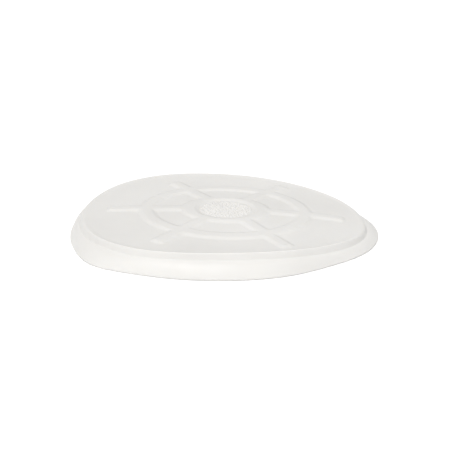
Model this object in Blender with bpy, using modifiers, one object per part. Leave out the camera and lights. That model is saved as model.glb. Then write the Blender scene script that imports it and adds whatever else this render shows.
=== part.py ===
"""Bedpan lid: one moulding of translucent plastic, standing on the edge of its skirt.

Metres, +Z up. The origin is the middle of the lid's footprint, on the plane that the skirt's
edge rests on. +X points to the narrow end and +Y to the far side; the lid is symmetric in Y.

The lid is one surface from the middle of the top out to the skirt's edge, given a wall of even
thickness by Solidify. Seen from above, its lines are egg outlines: two half ovals that meet at
the widest station. The top is slightly dished inside a raised rim and rises again in the
middle. It carries a raised wheel with soft sides: an oval boss with a sunk field, a ring, and
six spokes.
"""
import math

import bmesh
import bpy

MM = 0.001

# Overall
LENGTH = 368.0 * MM
WIDTH = 303.0 * MM
WALL = 2.0 * MM

# Skirt edge, the outline that rests on the floor
EDGE_TO_WIDEST_L = 164.0 * MM          # from the wide end to the widest station
EDGE_ROUND_L = (2.10, 2.65)            # oval exponents along X and Y, wide end
EDGE_ROUND_R = (1.96, 1.98)            # the same, narrow end
CORNER_OUT = 7.0 * MM                  # the wide end's two corners are fuller than an oval
CORNER_AT, CORNER_SPREAD = 140.0, 11.5     # degrees from +X
FLANK_IN = 5.0 * MM                    # and the flanks towards the narrow end are slimmer
FLANK_AT, FLANK_SPREAD = 39.0, 17.0
EDGE_LIP = 1.6 * MM                    # upright lip at the skirt's edge

# Shoulder, the inner corner where the step meets the skirt
SHOULDER_WIDEST_X = -29.6 * MM
SHOULDER_LEN_L = 145.5 * MM
SHOULDER_LEN_R = 199.5 * MM
SHOULDER_HALF_W = 136.0 * MM
SHOULDER_ROUND_L = (2.40, 1.96)
SHOULDER_ROUND_R = (1.96, 2.06)
SHOULDER_Z_MID = 17.4 * MM             # height above the floor at mid length
SHOULDER_Z_L = 11.8 * MM               # at the wide end
SHOULDER_Z_R = 6.8 * MM                # at the narrow end
SKIRT_BULGE = 0.62                     # under 1 the skirt bows outward

# Step and crease, the upright band round the top and the line above it
STEP_H = 8.0 * MM
STEP_IN = 2.8 * MM
CREASE_R = 1.3 * MM

# Top: a raised rim at the crease, a shallow dish, and a low crown in the middle
RIM_H = 0.95 * MM
RIM_W = 8.2 * MM
DISH_ACROSS = 1.25 * MM                # depth of the dish on the sides
DISH_ALONG = -0.9 * MM                 # and towards the ends, where the top is fuller
CROWN_H = 1.9 * MM
CROWN_POWER = 3.7

# Raised wheel. Widths and outlines are at the foot of the ribs' sides
RIB_H = 1.9 * MM
RIB_SLOPE = 6.4 * MM                   # plan width of a rib's side
FIELD_A, FIELD_B = 31.9 * MM, 27.7 * MM    # sunk oval field
BOSS_A, BOSS_B = 55.6 * MM, 44.1 * MM      # outside of the boss
RING_A, RING_B = 94.4 * MM, 79.0 * MM      # middle of the ring
RING_W = 22.1 * MM
SPOKE_W = 21.2 * MM
SPOKE_DIAGONAL = math.radians(54.0)
SPOKE_ENDS = (144.6 * MM, 121.3 * MM, 121.3 * MM,      # +X, then the two on the +Y side
              144.6 * MM, 128.9 * MM, 128.9 * MM)      # -X, then the two on the -Y side

# Mesh
FILL_DIAGONAL = 9                      # stations between a long spoke and a diagonal one
FILL_SIDE = 11                         # stations between two diagonal spokes
SKIRT_ROWS = 5


def clear_scene():
    for ob in list(bpy.data.objects):
        bpy.data.objects.remove(ob, do_unlink=True)


def signed_power(value, power):
    return math.copysign(abs(value) ** power, value)


def egg_point(widest_x, len_l, len_r, half_w, round_l, round_r, t):
    """Point of an egg outline at its parameter t."""
    c, s = math.cos(t), math.sin(t)
    length = len_r if c > 0 else len_l
    px, py = round_r if c > 0 else round_l
    return (widest_x + length * signed_power(c, 2.0 / px), half_w * signed_power(s, 2.0 / py))


def edge_point(t):
    widest = -LENGTH / 2 + EDGE_TO_WIDEST_L
    x, y = egg_point(widest, EDGE_TO_WIDEST_L, LENGTH - EDGE_TO_WIDEST_L, WIDTH / 2,
                     EDGE_ROUND_L, EDGE_ROUND_R, t)
    turn = abs(math.degrees(math.atan2(y, x)))
    more = (CORNER_OUT * math.exp(-((turn - CORNER_AT) / CORNER_SPREAD) ** 2)
            - FLANK_IN * math.exp(-((turn - FLANK_AT) / FLANK_SPREAD) ** 2))
    grow = 1 + more / math.hypot(x, y)
    return x * grow, y * grow


def shoulder_point(t, inset=0.0):
    return egg_point(SHOULDER_WIDEST_X, SHOULDER_LEN_L - inset, SHOULDER_LEN_R - inset,
                     SHOULDER_HALF_W - inset, SHOULDER_ROUND_L, SHOULDER_ROUND_R, t)


def ray_hit(curve, angle):
    """Parameter of an outline's point in the direction of angle from the origin."""
    lo, hi = angle - 1.2, angle + 1.2
    for _ in range(60):
        mid = (lo + hi) / 2
        x, y = curve(mid)
        turn = math.remainder(math.atan2(y, x) - angle, 2 * math.pi)
        if turn < 0:
            lo = mid
        else:
            hi = mid
    return (lo + hi) / 2


def radius_of(curve, angle):
    x, y = curve(ray_hit(curve, angle))
    return math.hypot(x, y)


def shoulder_z(x):
    end_x = SHOULDER_WIDEST_X + (SHOULDER_LEN_R if x > 0 else -SHOULDER_LEN_L)
    end_z = SHOULDER_Z_R if x > 0 else SHOULDER_Z_L
    return SHOULDER_Z_MID - (SHOULDER_Z_MID - end_z) * (x / end_x) ** 2


def oval_radius(a, b, angle):
    return a * b / math.hypot(b * math.cos(angle), a * math.sin(angle))


def top_z(rho, angle, crease, crease_z):
    """Height of the plain top, rho from 0 in the middle to 1 at the crease."""
    level = SHOULDER_Z_MID + STEP_H
    z = level + (crease_z - level) * rho ** 2 + CROWN_H * (1 - rho ** 2) ** CROWN_POWER
    dish = (4 * rho ** 2 * (1 - rho ** 2)) ** 2         # deepest about 0.7 of the way out
    z -= dish * (DISH_ACROSS * math.sin(angle) ** 2 + DISH_ALONG * math.cos(angle) ** 2)
    rim = max(0.0, 1 - (1 - rho) * crease / RIM_W)
    return z - RIM_H * (1 - rim ** 2)


def stations():
    """Directions round the lid, as (spoke angle, sideways offset) or a plain angle.

    A spoke takes five: its two feet, the two edges of its flat top, and its middle. Between
    spokes the directions are spaced evenly.
    """
    spokes = [0.0, SPOKE_DIAGONAL, math.pi - SPOKE_DIAGONAL, math.pi,
              math.pi + SPOKE_DIAGONAL, 2 * math.pi - SPOKE_DIAGONAL]
    half, top = SPOKE_W / 2, SPOKE_W / 2 - RIB_SLOPE
    result = []
    for i, angle in enumerate(spokes):
        for offset in (-half, -top, 0.0, top, half):
            result.append(("spoke", i, angle, offset))
        after = spokes[i + 1] if i + 1 < len(spokes) else 2 * math.pi
        count = FILL_SIDE if i in (1, 4) else FILL_DIAGONAL
        for k in range(1, count + 1):
            result.append(("fill", i, angle, after, k / (count + 1)))
    return result


def station_angle(station, radius):
    """Direction of a station at a radius; a spoke's sides stay parallel outside the boss."""
    spread = max(radius, BOSS_A * 0.9)
    if station[0] == "spoke":
        return station[2] + math.asin(station[3] / spread)
    half = math.asin(SPOKE_W / 2 / spread)
    lo, hi = station[2] + half, station[3] - half
    return lo + (hi - lo) * station[4]


def spoke_end_row(station):
    """Where the row of the spokes' ends runs in a station's direction."""
    here, there = SPOKE_ENDS[station[1]], SPOKE_ENDS[(station[1] + 1) % 6]
    if station[0] == "spoke":
        return here
    mix = station[4] * station[4] * (3 - 2 * station[4])
    low = here + (there - here) * mix
    if station[1] in (1, 4):
        low -= 0.10 * here * math.sin(math.pi * station[4])
    return low


def on_spoke_top(station):
    return station[0] == "spoke" and abs(station[3]) < SPOKE_W / 2 - RIB_SLOPE / 2


def station_column(station):
    """The surface's points along one station, from the middle out to the skirt's edge."""
    half_ring, s = RING_W / 2, RIB_SLOPE
    top = on_spoke_top(station)
    rows = []                                   # (kind of radius, value, raised)

    def oval(a, b, grow, raised):
        rows.append((lambda ang: oval_radius(a + grow, b + grow, ang), raised))

    def plain(radius, raised):
        rows.append((lambda ang: radius, raised))

    oval(FIELD_A, FIELD_B, -0.55 * FIELD_A, False)
    oval(FIELD_A, FIELD_B, 0.0, False)
    oval(FIELD_A, FIELD_B, s, True)
    oval(BOSS_A, BOSS_B, -s, True)
    oval(BOSS_A, BOSS_B, 0.0, top)
    oval((BOSS_A + RING_A) / 2, (BOSS_B + RING_B) / 2, -half_ring / 2, top)
    oval(RING_A, RING_B, -half_ring, top)
    oval(RING_A, RING_B, -half_ring + s, True)
    oval(RING_A, RING_B, half_ring - s, True)
    oval(RING_A, RING_B, half_ring, top)
    end = spoke_end_row(station)
    plain(end - s, top)
    plain(end, False)

    points = []
    for radius_at, raised in rows:
        angle = station_angle(station, BOSS_A)
        for _ in range(4):
            angle = station_angle(station, radius_at(angle))
        r = radius_at(angle)
        crease = radius_of(lambda t: shoulder_point(t, STEP_IN), angle)
        cx = crease * math.cos(angle)
        z = top_z(r / crease, angle, crease, shoulder_z(cx) + STEP_H) + (RIB_H if raised else 0.0)
        points.append((r * math.cos(angle), r * math.sin(angle), z))

    # plain margin of the top, crease, step and skirt
    outer = station_angle(station, WIDTH / 2)
    crease_t = ray_hit(lambda t: shoulder_point(t, STEP_IN), outer)
    cx, cy = shoulder_point(crease_t, STEP_IN)
    cz = shoulder_z(cx) + STEP_H
    crease = math.hypot(cx, cy)
    foot, last = max(crease - RIM_W, end + 1.5 * MM), crease - CREASE_R
    for r in (foot, (foot + last) / 2, last):
        rho = r / crease
        points.append((cx * rho, cy * rho, top_z(rho, outer, crease, cz)))
    sx, sy = shoulder_point(crease_t, 0.0)
    sz = shoulder_z(sx)
    ex, ey = edge_point(ray_hit(edge_point, math.atan2(sy, sx)))
    for mix in (CREASE_R / STEP_H, 1.0):
        points.append((cx + (sx - cx) * mix, cy + (sy - cy) * mix, cz + (sz - cz) * mix))
    for row in range(1, SKIRT_ROWS + 1):
        down = row / SKIRT_ROWS
        out = down ** SKIRT_BULGE
        points.append((sx + (ex - sx) * out, sy + (ey - sy) * out, sz + (EDGE_LIP - sz) * down))
    points.append((ex, ey, 0.0))
    return points


def lid_surface():
    """Open outer surface of the lid, from the middle of the top to the skirt's edge."""
    columns = [station_column(s) for s in stations()]
    bm = bmesh.new()
    middle = bm.verts.new((0.0, 0.0, top_z(0.0, 0.0, 1.0, 0.0)))
    grid = [[bm.verts.new(p) for p in column] for column in columns]
    count = len(grid)
    for i in range(count):
        here, after = grid[i], grid[(i + 1) % count]
        bm.faces.new((middle, here[0], after[0]))
        for k in range(len(here) - 1):
            bm.faces.new((here[k], here[k + 1], after[k + 1], after[k]))
    bm.normal_update()
    mesh = bpy.data.meshes.new("lid")
    bm.to_mesh(mesh)
    bm.free()
    return mesh


def plastic(name, color, roughness):
    material = bpy.data.materials.new(name)
    material.use_nodes = True
    shader = material.node_tree.nodes["Principled BSDF"]
    shader.inputs["Base Color"].default_value = (*color, 1.0)
    shader.inputs["Roughness"].default_value = roughness
    shader.inputs["Metallic"].default_value = 0.0
    return material


def main():
    clear_scene()
    parts = bpy.data.collections.new("bedpan_lid")
    bpy.context.scene.collection.children.link(parts)

    lid = bpy.data.objects.new("lid", lid_surface())
    parts.objects.link(lid)
    wall = lid.modifiers.new("wall", "SOLIDIFY")
    wall.thickness = WALL
    wall.offset = -1.0
    wall.use_even_offset = True
    wall.use_rim = True
    lid.data.materials.append(plastic("frosted_white_plastic", (0.74, 0.73, 0.71), 0.38))
    lid.data.shade_smooth()
    lid.data.set_sharp_from_angle(angle=math.radians(28))


main()
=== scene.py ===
"""Looks for the bedpan lid: a fine mesh of the one-piece moulding, its frosted plastic, and a pale studio."""
import math
import bpy
import numpy as np
from mathutils import Matrix, Vector


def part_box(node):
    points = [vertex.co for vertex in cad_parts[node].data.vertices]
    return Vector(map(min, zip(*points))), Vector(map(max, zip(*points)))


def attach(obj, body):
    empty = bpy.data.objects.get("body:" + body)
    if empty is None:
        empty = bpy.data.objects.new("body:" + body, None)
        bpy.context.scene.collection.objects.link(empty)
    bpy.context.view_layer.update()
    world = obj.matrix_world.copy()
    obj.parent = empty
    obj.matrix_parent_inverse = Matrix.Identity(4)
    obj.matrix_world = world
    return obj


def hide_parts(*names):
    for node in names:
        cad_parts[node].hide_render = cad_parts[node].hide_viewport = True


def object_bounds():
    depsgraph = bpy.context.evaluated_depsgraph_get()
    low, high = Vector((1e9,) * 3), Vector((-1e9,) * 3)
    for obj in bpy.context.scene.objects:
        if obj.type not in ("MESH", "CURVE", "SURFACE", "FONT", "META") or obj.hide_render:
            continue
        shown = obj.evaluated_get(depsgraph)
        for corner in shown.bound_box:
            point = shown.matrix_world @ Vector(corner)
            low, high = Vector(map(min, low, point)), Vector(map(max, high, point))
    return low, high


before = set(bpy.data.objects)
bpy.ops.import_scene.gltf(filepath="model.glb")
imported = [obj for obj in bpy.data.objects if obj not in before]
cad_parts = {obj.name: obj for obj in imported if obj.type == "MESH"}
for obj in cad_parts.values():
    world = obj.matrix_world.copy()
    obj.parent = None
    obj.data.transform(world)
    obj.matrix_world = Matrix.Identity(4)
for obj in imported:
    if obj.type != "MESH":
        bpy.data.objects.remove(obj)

cad_lo, cad_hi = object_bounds()
lid_lo, lid_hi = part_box("lid")
MM = 0.001

# ---------------------------------------------------------------- sizes, metres, as in the CAD
LENGTH = lid_hi.x - lid_lo.x
WIDTH = lid_hi.y - lid_lo.y
WALL = 2.0 * MM

EDGE_TO_WIDEST_L = 164.0 * MM
EDGE_ROUND_L = (2.10, 2.65)
EDGE_ROUND_R = (1.96, 1.98)
CORNER_OUT, CORNER_AT, CORNER_SPREAD = 7.0 * MM, 140.0, 11.5     # wide end's two corners
FLANK_IN, FLANK_AT, FLANK_SPREAD = 5.0 * MM, 39.0, 17.0          # flanks towards the narrow end
EDGE_LIP = 1.6 * MM

SHOULDER_WIDEST_X = -29.6 * MM
SHOULDER_LEN_L = 145.5 * MM
SHOULDER_LEN_R = 199.5 * MM
SHOULDER_HALF_W = 136.0 * MM
SHOULDER_ROUND_L = (2.40, 1.96)
SHOULDER_ROUND_R = (1.96, 2.06)
SHOULDER_Z_MID = 17.4 * MM
SHOULDER_Z_L = 11.8 * MM
SHOULDER_Z_R = 6.8 * MM
SKIRT_BULGE = 0.62

STEP_H = 8.0 * MM
STEP_IN = 2.8 * MM

RIM_H = 0.95 * MM
RIM_W = 8.2 * MM
DISH_ACROSS = 1.25 * MM
DISH_ALONG = -0.9 * MM
CROWN_H = 1.9 * MM
CROWN_POWER = 3.7

# widths and outlines of the wheel are halfway up the ribs' soft sides
RIB_H = 1.9 * MM
RIB_SLOPE = 7.6 * MM
FIELD_A, FIELD_B = 35.1 * MM, 30.9 * MM
BOSS_A, BOSS_B = 52.4 * MM, 40.9 * MM
RING_A, RING_B = 94.4 * MM, 79.0 * MM
RING_W = 15.7 * MM
SPOKE_W = 14.8 * MM
SPOKE_DIAGONAL = math.radians(54.0)
CORNER = 4.0 * MM                       # rounding in plan where ribs meet

SPOKES = [0.0, SPOKE_DIAGONAL, math.pi - SPOKE_DIAGONAL, math.pi,
          math.pi + SPOKE_DIAGONAL, 2 * math.pi - SPOKE_DIAGONAL]
ENDS = [141.4 * MM, 118.1 * MM, 118.1 * MM, 141.4 * MM, 125.7 * MM, 125.7 * MM]

HALF_GRID = 54                          # the middle patch is a square grid, 8 * 54 = 432 round
AROUND = 8 * HALF_GRID


# ---------------------------------------------------------------- outlines
def spow(v, p):
    return np.sign(v) * np.abs(v) ** p


def egg(widest, len_l, len_r, half_w, round_l, round_r, t):
    c, s = np.cos(t), np.sin(t)
    right = c > 0
    length = np.where(right, len_r, len_l)
    px = np.where(right, round_r[0], round_l[0])
    py = np.where(right, round_r[1], round_l[1])
    return widest + length * spow(c, 2.0 / px), half_w * spow(s, 2.0 / py)


def edge_curve(t, inset=0.0):
    widest = -LENGTH / 2 + EDGE_TO_WIDEST_L
    x, y = egg(widest, EDGE_TO_WIDEST_L - inset, LENGTH - EDGE_TO_WIDEST_L - inset,
               WIDTH / 2 - inset, EDGE_ROUND_L, EDGE_ROUND_R, t)
    r, turn = np.hypot(x, y), np.abs(np.degrees(np.arctan2(y, x)))
    more = (CORNER_OUT * np.exp(-((turn - CORNER_AT) / CORNER_SPREAD) ** 2)
            - FLANK_IN * np.exp(-((turn - FLANK_AT) / FLANK_SPREAD) ** 2))
    return x * (1 + more / r), y * (1 + more / r)


def shoulder_curve(t, inset=0.0):
    return egg(SHOULDER_WIDEST_X, SHOULDER_LEN_L - inset, SHOULDER_LEN_R - inset,
               SHOULDER_HALF_W - inset, SHOULDER_ROUND_L, SHOULDER_ROUND_R, t)


def hit(curve, angle, inset=0.0):
    """Parameter of the curve's point in each direction of angle (an array)."""
    lo, hi = angle - 1.2, angle + 1.2
    for _ in range(50):
        mid = (lo + hi) / 2
        x, y = curve(mid, inset)
        turn = np.angle(np.exp(1j * (np.arctan2(y, x) - angle)))
        lo = np.where(turn < 0, mid, lo)
        hi = np.where(turn < 0, hi, mid)
    return (lo + hi) / 2


_ANGLES = np.linspace(-math.pi, math.pi, 2881)
_CX, _CY = shoulder_curve(hit(shoulder_curve, _ANGLES, STEP_IN), STEP_IN)
_CR = np.hypot(_CX, _CY)


def crease_radius(angle):
    return np.interp(np.angle(np.exp(1j * angle)), _ANGLES, _CR)


def shoulder_z(x):
    end_x = np.where(x > 0, SHOULDER_WIDEST_X + SHOULDER_LEN_R, SHOULDER_WIDEST_X - SHOULDER_LEN_L)
    end_z = np.where(x > 0, SHOULDER_Z_R, SHOULDER_Z_L)
    return SHOULDER_Z_MID - (SHOULDER_Z_MID - end_z) * (x / end_x) ** 2


def bluntness(x):
    """0 along the sides, where the crease is tight, to 1 at both ends, where it is rolled."""
    along = np.abs(x) / np.where(x > 0, SHOULDER_WIDEST_X + SHOULDER_LEN_R,
                                 SHOULDER_LEN_L - SHOULDER_WIDEST_X)
    return np.clip((along - 0.80) / 0.2, 0, 1) ** 1.5


def plain_top(x, y):
    r, angle = np.hypot(x, y), np.arctan2(y, x)
    cr = crease_radius(angle)
    rho = np.clip(r / cr, 0, 1)
    level = SHOULDER_Z_MID + STEP_H
    cz = shoulder_z(cr * np.cos(angle)) + STEP_H
    z = level + (cz - level) * rho ** 2 + CROWN_H * (1 - rho ** 2) ** CROWN_POWER
    dish = (4 * rho ** 2 * (1 - rho ** 2)) ** 2
    z = z - dish * (DISH_ACROSS * np.sin(angle) ** 2 + DISH_ALONG * np.cos(angle) ** 2)
    rim = np.clip(1 - (cr - r) / RIM_W, 0, 1)
    return z - RIM_H * (1 - rim ** 2)


# ---------------------------------------------------------------- raised wheel
def oval_distance(x, y, a, b):
    """Signed distance to an oval, near enough close to it; negative inside."""
    f = np.sqrt((x / a) ** 2 + (y / b) ** 2)
    g = np.sqrt((x / a ** 2) ** 2 + (y / b ** 2) ** 2)
    return np.where(f > 1e-6, f * (f - 1) / np.maximum(g, 1e-9), -min(a, b))


def smooth_min(a, b, k):
    h = np.clip(0.5 + 0.5 * (b - a) / k, 0, 1)
    return b + (a - b) * h - k * h * (1 - h)


def spoke_distance(x, y, angle, end, half_w):
    s = x * math.cos(angle) + y * math.sin(angle)
    n = -x * math.sin(angle) + y * math.cos(angle)
    start, r = 36 * MM, CORNER
    mid, half = (start + end) / 2, (end - start) / 2
    qx, qy = np.abs(s - mid) - half + r, np.abs(n) - half_w + r
    outside = np.hypot(np.maximum(qx, 0), np.maximum(qy, 0))
    return outside + np.minimum(np.maximum(qx, qy), 0) - r


def wheel_height(x, y, shrink=0.0, slope=RIB_SLOPE):
    """Height of the ribs over the plain top. shrink narrows them, for the hollow underside."""
    ring = np.abs(oval_distance(x, y, RING_A, RING_B)) - RING_W / 2
    d = smooth_min(ring, oval_distance(x, y, BOSS_A, BOSS_B), CORNER)
    for angle, end in zip(SPOKES, ENDS):
        d = smooth_min(d, spoke_distance(x, y, angle, end, SPOKE_W / 2), CORNER)
    d = np.maximum(d, -oval_distance(x, y, FIELD_A, FIELD_B))
    t = np.clip(0.5 - (d + shrink) / slope, 0, 1)
    return RIB_H * t * t * (3 - 2 * t)


# ---------------------------------------------------------------- grain of the sunk field
def field_pips(x, y):
    """Low rounded pips in staggered rows over the sunk oval field."""
    rng = np.random.default_rng(7)
    pitch, z = 3.1 * MM, np.zeros_like(x)
    rows = int(FIELD_B / (pitch * 0.86)) + 1
    for j in range(-rows, rows + 1):
        for i in range(-13, 14):
            px = (i + 0.5 * (j % 2)) * pitch + rng.uniform(-0.35, 0.35) * pitch
            py = j * pitch * 0.86 + rng.uniform(-0.25, 0.25) * pitch
            size = rng.uniform(0.75, 1.15)
            height = rng.uniform(0.55, 1.25) * MM
            if oval_distance(np.array(px), np.array(py), FIELD_A, FIELD_B) > -5.0 * MM:
                continue
            q = ((x - px) / (1.05 * MM * size)) ** 2 + ((y - py) / (0.85 * MM * size)) ** 2
            z = np.maximum(z, height * np.clip(1 - q / 1.9, 0, 1) ** 1.2)
    return z


# ---------------------------------------------------------------- directions round the lid
def make_stations():
    """432 directions: 29 side by side along each spoke, the rest spread between the spokes."""
    side = 14
    fills = [36, 57, 36, 36, 57, 36]
    items = []
    for i in range(6):
        for k in range(-side, side + 1):
            items.append((i, k * 0.86 * MM, None, None))
        after = SPOKES[i + 1] if i < 5 else 2 * math.pi
        for k in range(1, fills[i] + 1):
            items.append((i, None, after, k / (fills[i] + 1)))
    # start the list at direction 0, the middle of the first spoke
    return items[side:] + items[:side]


STATIONS = make_stations()
assert len(STATIONS) == AROUND
_REACH = 14 * 0.86 * MM


def station_angles(radius):
    """Each station's direction at its radius (an array of AROUND)."""
    out = np.empty(AROUND)
    for n, (i, offset, after, f) in enumerate(STATIONS):
        spread = max(radius[n], 50 * MM)
        if offset is not None:
            out[n] = SPOKES[i] + math.asin(offset / spread)
        else:
            half = math.asin(_REACH / spread)
            lo, hi = SPOKES[i] + half, after - half
            out[n] = lo + (hi - lo) * f
    return out


def spoke_end_radius(angle):
    """A smooth curve through the six spokes' ends, to run a row of the mesh along."""
    ends = np.array([(a, e) for a, e in zip(SPOKES, ENDS)] + [(2 * math.pi, ENDS[0])])
    a = np.mod(angle, 2 * math.pi)
    k = np.clip(np.searchsorted(ends[:, 0], a, side="right") - 1, 0, 5)
    f = (a - ends[k, 0]) / (ends[k + 1, 0] - ends[k, 0])
    m = f * f * (3 - 2 * f)
    r = ends[k, 1] + (ends[k + 1, 1] - ends[k, 1]) * m
    wide = (k == 1) | (k == 4)
    return r - np.where(wide, 0.10 * ends[k, 1] * np.sin(math.pi * f), 0.0)


def oval_r(a, b, grow, angle):
    a, b = a + grow, b + grow
    return a * b / np.hypot(b * np.cos(angle), a * np.sin(angle))


# ---------------------------------------------------------------- one side of the moulding
def surface_rows(inner):
    """Rows of points from the middle patch's edge to the skirt's edge, each AROUND long."""
    w = WALL if inner else 0.0
    shrink = 0.75 * MM if inner else 0.0
    step_in = STEP_IN + (1.55 * MM if inner else 0.0)
    shoulder_in = 2.75 * MM if inner else 0.0
    edge_in = w

    def top(x, y):
        return plain_top(x, y) - w + wheel_height(x, y, shrink)

    def control(name, angle):
        crease = crease_radius(angle) - (1.55 * MM if inner else 0.0)
        end = spoke_end_radius(angle)
        near = end + RIB_SLOPE / 2
        side = RIB_SLOPE / 2 + 0.3 * MM
        table = {
            "field": lambda: oval_r(FIELD_A, FIELD_B, -side, angle),
            "field_top": lambda: oval_r(FIELD_A, FIELD_B, side, angle),
            "boss_in": lambda: oval_r(BOSS_A, BOSS_B, -side, angle),
            "boss_out": lambda: oval_r(BOSS_A, BOSS_B, side, angle),
            "ring_a": lambda: oval_r(RING_A, RING_B, -RING_W / 2 - side, angle),
            "ring_b": lambda: oval_r(RING_A, RING_B, -RING_W / 2 + side, angle),
            "ring_c": lambda: oval_r(RING_A, RING_B, RING_W / 2 - side, angle),
            "ring_d": lambda: oval_r(RING_A, RING_B, RING_W / 2 + side, angle),
            "end_a": lambda: end - side,
            "end_b": lambda: near,
            "rim": lambda: np.maximum(crease - RIM_W - 1.5 * MM, near + 0.2 * (crease - near)),
            "crease": lambda: crease,
        }
        return table[name]()

    spans = [("field", "field_top", 11), ("field_top", "boss_in", 5), ("boss_in", "boss_out", 11),
             ("boss_out", "ring_a", 10), ("ring_a", "ring_b", 11), ("ring_b", "ring_c", 6),
             ("ring_c", "ring_d", 11), ("ring_d", "end_a", 12), ("end_a", "end_b", 11),
             ("end_b", "rim", 6)]
    rows = []

    def place(radius_at):
        angle = station_angles(np.full(AROUND, BOSS_A))
        for _ in range(5):
            angle = station_angles(radius_at(angle))
        r = radius_at(angle)
        x, y = r * np.cos(angle), r * np.sin(angle)
        return x, y

    for k, (a, b, count) in enumerate(spans):
        for j in range(count):
            f = j / count
            x, y = place(lambda ang: control(a, ang) * (1 - f) + control(b, ang) * f)
            rows.append(np.stack([x, y, top(x, y)], -1))

    # the outer part runs on one direction per station, from the rim out
    ang = station_angles(np.full(AROUND, 150 * MM))
    t = hit(shoulder_curve, ang, step_in)
    cx, cy = shoulder_curve(t, step_in)
    cz = shoulder_z(cx) + STEP_H - w
    sx, sy = shoulder_curve(t, shoulder_in)
    sz = shoulder_z(sx) - w
    ex, ey = edge_curve(hit(edge_curve, np.arctan2(sy, sx), edge_in), edge_in)
    crease = np.hypot(cx, cy)

    blunt = bluntness(cx)
    leg_top = (1.1 + 9.0 * blunt) * MM + (0.2 * MM if inner else 0.0)
    leg_wall = (1.1 + 3.6 * blunt) * MM

    near = spoke_end_radius(ang) + RIB_SLOPE / 2
    rim = np.maximum(crease - RIM_W - 1.5 * MM, near + 0.2 * (crease - near))
    stop = np.maximum(crease - leg_top, rim + 0.5 * MM)
    for j in range(18):
        f = j / 18
        r = rim * (1 - f) + stop * f
        x, y = r * np.cos(ang), r * np.sin(ang)
        rows.append(np.stack([x, y, top(x, y)], -1))

    C = np.stack([cx, cy, cz], -1)
    S = np.stack([sx, sy, sz], -1)
    ax, ay = stop * np.cos(ang), stop * np.sin(ang)
    A = np.stack([ax, ay, top(ax, ay)], -1)
    wall_len = np.linalg.norm(S - C, axis=1)[:, None]
    down = (S - C) / wall_len
    B = C + down * leg_wall[:, None]

    def skirt(u):
        d = u ** (1 / SKIRT_BULGE)
        return np.stack([sx + (ex - sx) * u, sy + (ey - sy) * u,
                         sz + (EDGE_LIP - sz) * d], -1)

    def bezier(p, q, r, f):
        return p * (1 - f) ** 2 + q * 2 * f * (1 - f) + r * f ** 2

    for j in range(8):
        rows.append(bezier(A, C, B, j / 8))
    leg_shoulder = 1.4 * MM
    D = S - down * leg_shoulder
    u0 = 0.10
    E = skirt(u0)
    for j in range(4):
        rows.append(B + (D - B) * (j / 4))
    for j in range(6):
        rows.append(bezier(D, S, E, j / 6))
    for j in range(16):
        rows.append(skirt(u0 + (1 - u0) * j / 16))
    edge = np.stack([ex, ey, np.zeros_like(ex)], -1)
    out = np.stack([ex - sx, ey - sy, np.zeros_like(ex)], -1)
    out /= np.linalg.norm(out, axis=1)[:, None]
    inward = out if inner else -out
    if inner:
        for z in (EDGE_LIP, 1.2 * MM, 0.7 * MM):
            p = edge.copy()
            p[:, 2] = z
            rows.append(p)
        r = 0.3 * MM
        for k in range(5):
            a = k / 4 * math.pi / 2
            p = edge + inward * (r * (1 - math.cos(a)))
            p[:, 2] = r * (1 - math.sin(a))
            rows.append(p)
    else:
        # the lip turns in under the skirt's edge
        for k in range(9):
            f = k / 8
            p = edge + inward * (1.3 * MM * f ** 1.4)
            p[:, 2] = EDGE_LIP * (1 - f)
            rows.append(p)
    return rows


def middle_patch(boundary, height):
    """Square grid of points filling the boundary ring, with the height of each from its place."""
    n = HALF_GRID
    pts = np.zeros((2 * n + 1, 2 * n + 1, 3))
    ring = boundary[:, 0] + 1j * boundary[:, 1]
    for i in range(-n, n + 1):
        for j in range(-n, n + 1):
            r = max(abs(i), abs(j))
            if r == 0:
                continue
            if i == r and j > -r:
                p = j if j >= 0 else 8 * r + j
            elif j == r:
                p = 2 * r - i
            elif i == -r:
                p = 4 * r - j
            else:
                p = 6 * r + i
            p = p % (8 * r)
            s = p / (8 * r) * AROUND
            k = int(math.floor(s + 1e-9))
            f = s - k
            v = ring[k % AROUND] * (1 - f) + ring[(k + 1) % AROUND] * f
            v *= r / n
            pts[i + n, j + n, 0], pts[i + n, j + n, 1] = v.real, v.imag
    pts[..., 2] = height(pts[..., 0], pts[..., 1])
    return pts


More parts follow.
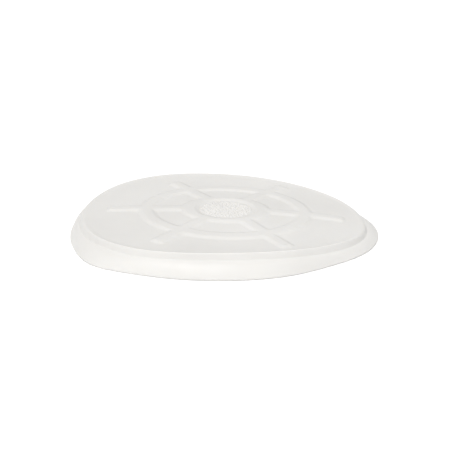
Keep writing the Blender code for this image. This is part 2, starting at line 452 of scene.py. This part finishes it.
def build_lid():
    outer, inner = surface_rows(False), surface_rows(True)
    verts, faces = [], []

    def add_side(rows, height, flip):
        base = sum(len(v) for v in verts)
        n = HALF_GRID
        patch = middle_patch(rows[0], height)
        # the patch's outer ring is the first row
        index = -np.ones((2 * n + 1, 2 * n + 1), int)
        inside = []
        for i in range(-n, n + 1):
            for j in range(-n, n + 1):
                if max(abs(i), abs(j)) < n:
                    index[i + n, j + n] = base + len(inside)
                    inside.append(patch[i + n, j + n])
        verts.append(np.array(inside))
        start = base + len(inside)
        for i in range(-n, n + 1):
            for j in range(-n, n + 1):
                if max(abs(i), abs(j)) == n:
                    if i == n and j > -n:
                        p = j if j >= 0 else 8 * n + j
                    elif j == n:
                        p = 2 * n - i
                    elif i == -n:
                        p = 4 * n - j
                    else:
                        p = 6 * n + i
                    index[i + n, j + n] = start + p % AROUND
        for row in rows:
            verts.append(row)
        for i in range(2 * n):
            for j in range(2 * n):
                q = (index[i, j], index[i + 1, j], index[i + 1, j + 1], index[i, j + 1])
                faces.append(q[::-1] if flip else q)
        for r in range(len(rows) - 1):
            a, b = start + r * AROUND, start + (r + 1) * AROUND
            for k in range(AROUND):
                m = (k + 1) % AROUND
                q = (a + k, b + k, b + m, a + m)
                faces.append(q[::-1] if flip else q)
        return start + (len(rows) - 1) * AROUND

    def outer_height(x, y):
        return plain_top(x, y) + wheel_height(x, y) + field_pips(x, y)

    def inner_height(x, y):
        return plain_top(x, y) - WALL + wheel_height(x, y, 0.75 * MM)

    last_out = add_side(outer, outer_height, False)
    last_in = add_side(inner, inner_height, True)
    for k in range(AROUND):
        m = (k + 1) % AROUND
        faces.append((last_out + k, last_in + k, last_in + m, last_out + m))

    co = np.concatenate(verts)
    mesh = bpy.data.meshes.new("lid_moulding")
    mesh.from_pydata(co.tolist(), [], [tuple(int(v) for v in f) for f in faces])
    mesh.update()
    mesh.shade_smooth()
    ob = bpy.data.objects.new("lid_moulding", mesh)
    bpy.context.scene.collection.objects.link(ob)
    return ob


# ---------------------------------------------------------------- frosted plastic
def frosted_plastic():
    mat = bpy.data.materials.new("frosted_polypropylene")
    mat.use_nodes = True
    nt = mat.node_tree
    bsdf = nt.nodes["Principled BSDF"]
    bsdf.inputs["Metallic"].default_value = 0.0
    bsdf.inputs["IOR"].default_value = 1.49
    bsdf.inputs["Subsurface Weight"].default_value = 0.35
    bsdf.inputs["Subsurface Radius"].default_value = (1.0, 0.95, 0.85)
    bsdf.inputs["Subsurface Scale"].default_value = 0.004
    bsdf.inputs["Coat Weight"].default_value = 0.06
    bsdf.inputs["Coat Roughness"].default_value = 0.25
    coord = nt.nodes.new("ShaderNodeTexCoord")

    def noise(scale, detail, rough):
        node = nt.nodes.new("ShaderNodeTexNoise")
        node.inputs["Scale"].default_value = scale
        node.inputs["Detail"].default_value = detail
        node.inputs["Roughness"].default_value = rough
        nt.links.new(coord.outputs["Object"], node.inputs["Vector"])
        return node

    # slow drift of tone through the moulding, as the melt's thickness and flow leave it
    drift = noise(9.0, 3.0, 0.5)
    tone = nt.nodes.new("ShaderNodeValToRGB")
    tone.color_ramp.elements[0].position = 0.30
    tone.color_ramp.elements[0].color = (0.705, 0.697, 0.680, 1)
    tone.color_ramp.elements[1].position = 0.70
    tone.color_ramp.elements[1].color = (0.745, 0.738, 0.722, 1)
    nt.links.new(drift.outputs["Fac"], tone.inputs["Fac"])
    nt.links.new(tone.outputs["Color"], bsdf.inputs["Base Color"])

    # haze and handling marks in the gloss
    haze = noise(60.0, 5.0, 0.6)
    rough = nt.nodes.new("ShaderNodeMapRange")
    rough.inputs["From Min"].default_value = 0.25
    rough.inputs["From Max"].default_value = 0.75
    rough.inputs["To Min"].default_value = 0.50
    rough.inputs["To Max"].default_value = 0.62
    nt.links.new(haze.outputs["Fac"], rough.inputs["Value"])
    nt.links.new(rough.outputs["Result"], bsdf.inputs["Roughness"])

    # fine mould grain
    grain = noise(1400.0, 2.0, 0.5)
    bump = nt.nodes.new("ShaderNodeBump")
    bump.inputs["Strength"].default_value = 0.06
    bump.inputs["Distance"].default_value = 0.0003
    nt.links.new(grain.outputs["Fac"], bump.inputs["Height"])
    nt.links.new(bump.outputs["Normal"], bsdf.inputs["Normal"])
    return mat


lid = build_lid()
lid.data.materials.append(frosted_plastic())
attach(lid, "root")
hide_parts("lid")


# ---------------------------------------------------------------- studio
def make_floor():
    mesh = bpy.data.meshes.new("floor")
    s = 6.0
    mesh.from_pydata([(-s, -s, 0), (s, -s, 0), (s, s, 0), (-s, s, 0)], [], [(0, 1, 2, 3)])
    ob = bpy.data.objects.new("floor", mesh)
    bpy.context.scene.collection.objects.link(ob)
    ob.location.z = cad_lo.z - 0.0002
    mat = bpy.data.materials.new("pale_floor")
    mat.use_nodes = True
    b = mat.node_tree.nodes["Principled BSDF"]
    b.inputs["Base Color"].default_value = (0.93, 0.93, 0.93, 1)
    b.inputs["Roughness"].default_value = 0.9
    b.inputs["Specular IOR Level"].default_value = 0.1
    b.inputs["Emission Color"].default_value = (1, 1, 1, 1)
    b.inputs["Emission Strength"].default_value = 0.14
    ob.data.materials.append(mat)
    return ob


def sun(name, toward, strength, spread, color):
    """A distant soft light: even over the whole floor, with wide soft shadows."""
    data = bpy.data.lights.new(name, "SUN")
    data.energy = strength
    data.angle = math.radians(spread)
    data.color = color
    ob = bpy.data.objects.new(name, data)
    bpy.context.scene.collection.objects.link(ob)
    ob.location = Vector(toward) * 3
    ob.rotation_mode = "QUATERNION"
    ob.rotation_quaternion = (-Vector(toward)).to_track_quat("-Z", "Y")
    return ob


make_floor()
sun("soft_front", (-0.12, -0.43, 0.88), 2.56, 20.0, (1.0, 0.99, 0.975))

world = bpy.data.worlds.new("studio")
bpy.context.scene.world = world
world.use_nodes = True
bg = world.node_tree.nodes["Background"]
bg.inputs["Color"].default_value = (1.0, 1.0, 1.0, 1)
bg.inputs["Strength"].default_value = 0.41

# ---------------------------------------------------------------- camera
AZIMUTH, ELEVATION, ROLL = math.radians(2.1), math.radians(22.0), math.radians(1.08)
DISTANCE, LENS = 1.331, 88.0
TARGET = Vector((-2.45 * MM, 0, 0))
AIM_PX = (223.28, 229.48)              # where TARGET lands in a 450 x 450 frame


def make_camera():
    data = bpy.data.cameras.new("camera")
    data.lens, data.sensor_width = LENS, 36.0
    ob = bpy.data.objects.new("camera", data)
    bpy.context.scene.collection.objects.link(ob)
    back = Vector((math.sin(AZIMUTH) * math.cos(ELEVATION),
                   -math.cos(AZIMUTH) * math.cos(ELEVATION), math.sin(ELEVATION)))
    right = Vector((math.cos(AZIMUTH), math.sin(AZIMUTH), 0))
    up = back.cross(right)
    place = TARGET + back * DISTANCE
    right, up = (right * math.cos(ROLL) + up * math.sin(ROLL),
                 up * math.cos(ROLL) - right * math.sin(ROLL))
    # turn so that TARGET lands at AIM_PX: aim past it by the offset in pixels
    focal = LENS / 36.0 * 450
    dx, dy = (AIM_PX[0] - 225) / focal, -(AIM_PX[1] - 225) / focal
    forward = (-back - right * dx - up * dy).normalized()
    z = -forward
    x = (right - z * right.dot(z)).normalized()
    y = z.cross(x)
    m = Matrix((x, y, z)).transposed().to_4x4()
    m.translation = place
    ob.matrix_world = m
    data.clip_start, data.clip_end = 0.05, 30
    bpy.context.scene.camera = ob


make_camera()
bpy.context.scene.view_settings.view_transform = "Standard"
